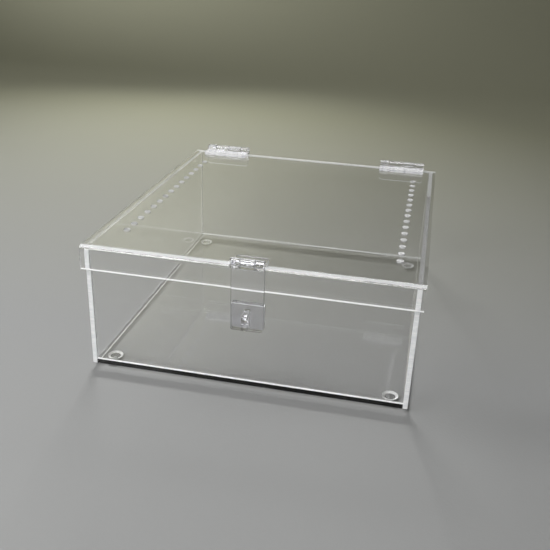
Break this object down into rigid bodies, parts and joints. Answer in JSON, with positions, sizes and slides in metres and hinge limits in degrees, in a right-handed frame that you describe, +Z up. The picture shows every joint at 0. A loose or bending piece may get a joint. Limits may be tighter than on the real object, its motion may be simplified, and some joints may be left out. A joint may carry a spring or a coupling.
{
  "type": "lockable clear box",
  "caption": "Clear acrylic box with a hinged lid, vent holes along the lid's sides, a padlock hasp over a staple and soft round feet, for keeping collected things in plain view.",
  "frame": {"origin": "centre of the overall footprint, on the surface that the feet stand on", "axes": "+Z up, +Y from the hasp at the front to the hinges at the back, +X to the right seen from the front"},
  "size_m": [0.311, 0.3736, 0.1359],
  "materials": {
    "clear_sheet": "polished clear acrylic sheet with pale sawn edges",
    "clear_moulding": "clear moulded acrylic, glossy",
    "clear_rod": "clear acrylic rod, cut ends",
    "clear_rubber": "clear soft bumper, satin"
  },
  "bodies": {
    "box": {"bottom_panel": "clear_sheet", "front_wall": "clear_sheet", "back_wall": "clear_sheet", "left_wall": "clear_sheet", "right_wall": "clear_sheet", "foot_front_left": "clear_rubber", "foot_front_right": "clear_rubber", "foot_back_left": "clear_rubber", "foot_back_right": "clear_rubber", "left_hinge_wall_leaf": "clear_moulding", "left_hinge_pin": "clear_rod", "right_hinge_wall_leaf": "clear_moulding", "right_hinge_pin": "clear_rod", "staple_plate": "clear_sheet", "staple": "clear_sheet"},
    "lid": {"lid_panel": "clear_sheet", "left_hinge_lid_leaf": "clear_moulding", "right_hinge_lid_leaf": "clear_moulding", "hasp_lid_leaf": "clear_moulding", "hasp_pin": "clear_rod"},
    "hasp": {"hasp_strap": "clear_moulding"}
  },
  "joints": [
    {"name": "lid_hinge", "type": "hinge", "parent": "box", "child": "lid", "pos_m": [0, 0.1822, 0.1313], "axis": [-1, 0, 0], "range_deg": [0, 200]},
    {"name": "hasp_hinge", "type": "hinge", "parent": "lid", "child": "hasp", "pos_m": [0.003, -0.1765, 0.1313], "axis": [-1, 0, 0], "range_deg": [0, 270]}
  ]
}
